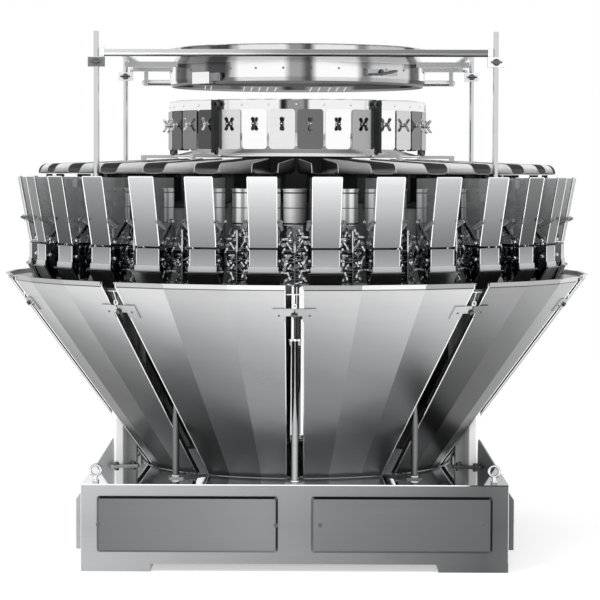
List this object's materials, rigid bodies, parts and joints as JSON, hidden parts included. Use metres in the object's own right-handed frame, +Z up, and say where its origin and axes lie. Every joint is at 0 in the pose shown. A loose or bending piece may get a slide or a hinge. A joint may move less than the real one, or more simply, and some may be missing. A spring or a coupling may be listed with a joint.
{
  "type": "multihead combination weigher",
  "caption": "Multihead combination weigher: a ring of feed and weigh hoppers over a folded collecting chute on a square base, with a round infeed drum above",
  "frame": {"origin": "bottom centre of the base, on the floor", "axes": "+Z up, -Y towards the front covers, +X to the right seen from the front"},
  "size_m": [2.2, 2.2058, 1.904],
  "materials": {
    "brushed_sheet": "brushed stainless sheet",
    "bright_sheet": "bright folded stainless sheet",
    "dark_housing": "dark satin housing",
    "machined_steel": "machined stainless",
    "polished_tube": "polished stainless tube",
    "clamp_metal": "cast clamp, satin",
    "knob_plastic": "black moulded wing knob"
  },
  "bodies": {
    "machine": {"base_walls": "brushed_sheet", "base_top_plate": "brushed_sheet", "foot_plates": "brushed_sheet", "front_covers": "brushed_sheet", "side_boxes": "brushed_sheet", "legs": "brushed_sheet", "leg_pads": "brushed_sheet", "rod_pads": "brushed_sheet", "chute_clips": "brushed_sheet", "chute_sections": "bright_sheet", "chute_stiffeners": "bright_sheet", "collecting_funnel": "bright_sheet", "feed_hopper_fronts": "bright_sheet", "feed_hopper_sides": "bright_sheet", "feed_hopper_backs": "bright_sheet", "feed_hopper_gates": "bright_sheet", "weigh_hopper_fronts": "bright_sheet", "weigh_hopper_sides": "bright_sheet", "weigh_hopper_backs": "bright_sheet", "weigh_hopper_gates": "bright_sheet", "feeder_pans": "bright_sheet", "dispersion_cone": "bright_sheet", "gate_collar": "bright_sheet", "gate_plates": "bright_sheet", "body_casing": "dark_housing", "feeder_drives": "dark_housing", "cone_pedestal": "dark_housing", "gate_uprights": "dark_housing", "drive_housings": "machined_steel", "drive_levers": "machined_steel", "gate_levers": "machined_steel", "hopper_hangers": "machined_steel", "eyebolts": "machined_steel", "post_brackets": "machined_steel", "tie_rods": "polished_tube", "infeed_posts": "polished_tube", "wing_knobs": "knob_plastic"},
    "infeed": {"infeed_clamps": "clamp_metal", "infeed_tubes": "polished_tube", "infeed_side_tubes": "polished_tube", "infeed_drum": "bright_sheet", "drum_collar": "bright_sheet", "drum_arms": "machined_steel", "drum_latch": "machined_steel", "drum_lever": "machined_steel"}
  },
  "joints": [
    {"name": "infeed_height", "type": "slide", "parent": "machine", "child": "infeed", "axis": [0, 0, 1], "range_m": [-0.05, 0.06]}
  ]
}
